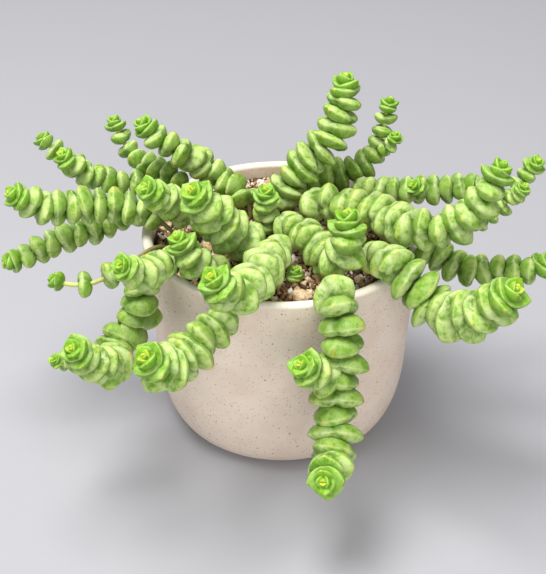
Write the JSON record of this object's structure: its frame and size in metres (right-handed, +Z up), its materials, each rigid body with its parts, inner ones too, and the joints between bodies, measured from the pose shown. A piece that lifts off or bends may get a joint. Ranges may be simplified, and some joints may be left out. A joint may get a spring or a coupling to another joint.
{
  "type": "potted jade necklace plant",
  "caption": "Free-standing round clay pot filled with gravelly soil, holding a succulent whose thick paired leaves are strung along stems that stand up, reach out and hang over the rim.",
  "frame": {"origin": "middle of the pot's flat base, on the surface that it stands on", "axes": "+Z up; -Y towards the side where most stems trail over the rim; +X to the right when seen from that side"},
  "size_m": [0.2363, 0.1784, 0.1483],
  "materials": {
    "clay": "matt cream stoneware with fine dark speckles and a smoother, paler lip",
    "gravel": "dry angular grit in browns, tans and off-whites",
    "leaf": "fleshy green leaf with a soft bloom, paler edges and lime tips"
  },
  "bodies": {
    "root": {"pot": "clay", "soil": "gravel", "sprout": "leaf", "stem_back_right": "leaf", "stem_back_row": "leaf", "stem_centre_left_big": "leaf", "stem_far_right": "leaf", "stem_front_left": "leaf", "stem_front_low": "leaf", "stem_front_trailing": "leaf", "stem_front_upright": "leaf", "stem_left_back_far": "leaf", "stem_left_back_tall": "leaf", "stem_left_double": "leaf", "stem_left_front": "leaf", "stem_left_long": "leaf", "stem_left_low": "leaf", "stem_left_mid": "leaf", "stem_left_near": "leaf", "stem_left_sparse": "leaf", "stem_left_trailing": "leaf", "stem_right_big": "leaf", "stem_right_long": "leaf", "stem_right_thin": "leaf", "stem_small_upright": "leaf", "stem_tall_centre": "leaf"}
  },
  "joints": []
}
